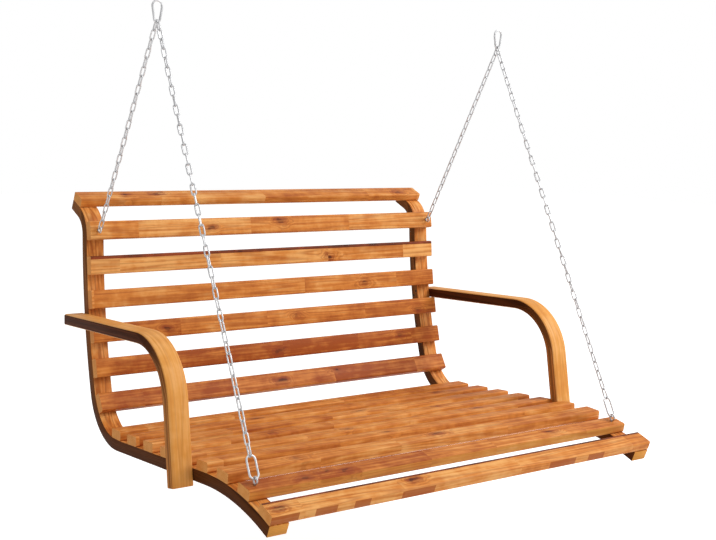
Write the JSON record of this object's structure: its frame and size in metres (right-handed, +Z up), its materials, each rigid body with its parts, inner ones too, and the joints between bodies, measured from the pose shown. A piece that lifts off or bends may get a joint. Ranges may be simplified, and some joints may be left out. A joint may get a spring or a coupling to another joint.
{
  "type": "swing bench",
  "caption": "Hanging porch swing bench of wooden slats on bent laminated rails, with bent armrests, chains to eye bolts and snap hooks at the top.",
  "frame": {"origin": "midway between the two snap hooks, at the inside top of their upper bows, where they hang", "axes": "+X to the sitter's left along the slats, +Y to the back of the seat, +Z up"},
  "size_m": [1.263, 1.0207, 1.1283],
  "materials": {
    "slat_wood": "clear satin varnish",
    "rail_wood": "clear satin varnish",
    "arm_wood": "clear satin varnish",
    "chain_steel": "zinc plated",
    "hook_steel": "zinc plated",
    "bolt_steel": "zinc plated",
    "screw_steel": "zinc plated"
  },
  "bodies": {
    "hangers": {"snap_hooks": "hook_steel", "gate_pins": "hook_steel"},
    "left_gate": {"hook_gate_left": "hook_steel"},
    "right_gate": {"hook_gate_right": "hook_steel"},
    "top_links": {"top_links_left": "chain_steel", "top_links_right": "chain_steel"},
    "left_chains": {"front_chain_left": "chain_steel", "rear_chain_left": "chain_steel", "long_link_left": "chain_steel"},
    "bench": {"seat_slat_9": "slat_wood", "seat_slat_8": "slat_wood", "seat_slat_7": "slat_wood", "seat_slat_6": "slat_wood", "seat_slat_5": "slat_wood", "seat_slat_4": "slat_wood", "seat_slat_3": "slat_wood", "seat_slat_2": "slat_wood", "seat_slat_1": "slat_wood", "back_slat_7": "slat_wood", "back_slat_6": "slat_wood", "back_slat_5": "slat_wood", "back_slat_4": "slat_wood", "back_slat_3": "slat_wood", "back_slat_2": "slat_wood", "back_slat_1": "slat_wood", "seat_slat_screws": "screw_steel", "back_slat_screws": "screw_steel", "armrest_screws": "screw_steel", "eye_bolt_washers": "bolt_steel", "eye_bolt_nuts": "bolt_steel", "eye_bolt_front_left": "bolt_steel", "eye_bolt_front_right": "bolt_steel", "eye_bolt_rear_left": "bolt_steel", "eye_bolt_rear_right": "bolt_steel", "side_rail_left": "rail_wood", "armrest_left": "arm_wood", "side_rail_right": "rail_wood", "armrest_right": "arm_wood"},
    "right_chains": {"front_chain_right": "chain_steel", "rear_chain_right": "chain_steel", "long_link_right": "chain_steel"}
  },
  "joints": [
    {"name": "swing", "type": "hinge", "parent": "hangers", "child": "top_links", "pos_m": [0, 0, -0.04888], "axis": [1, 0, 0], "range_deg": [-30, 30]},
    {"name": "sway", "type": "hinge", "parent": "top_links", "child": "left_chains", "pos_m": [-0.5535, 0.01163, -0.06975], "axis": [0, -0.861, -0.5087], "range_deg": [-8, 8]},
    {"name": "bench_sway", "type": "hinge", "parent": "left_chains", "child": "bench", "pos_m": [-0.5535, 0.28908, -0.5679], "axis": [0, -0.861, -0.5087], "range_deg": [-8, 8]},
    {"name": "right_sway", "type": "hinge", "parent": "bench", "child": "right_chains", "pos_m": [0.5535, 0.28908, -0.5679], "axis": [0, -0.861, -0.5087], "range_deg": [-8, 8]},
    {"name": "left_gate", "type": "hinge", "parent": "hangers", "child": "left_gate", "pos_m": [-0.54532, 0, -0.04073], "axis": [0, -1, 0], "range_deg": [0, 25], "stiffness_Nm_per_rad": 0.05},
    {"name": "right_gate", "type": "hinge", "parent": "hangers", "child": "right_gate", "pos_m": [0.54532, 0, -0.04073], "axis": [0, 1, 0], "range_deg": [0, 25], "stiffness_Nm_per_rad": 0.05}
  ],
  "couplings": [
    {"joint": "bench_sway", "follows": "sway", "ratio": -1},
    {"joint": "right_sway", "follows": "sway", "ratio": 1}
  ]
}
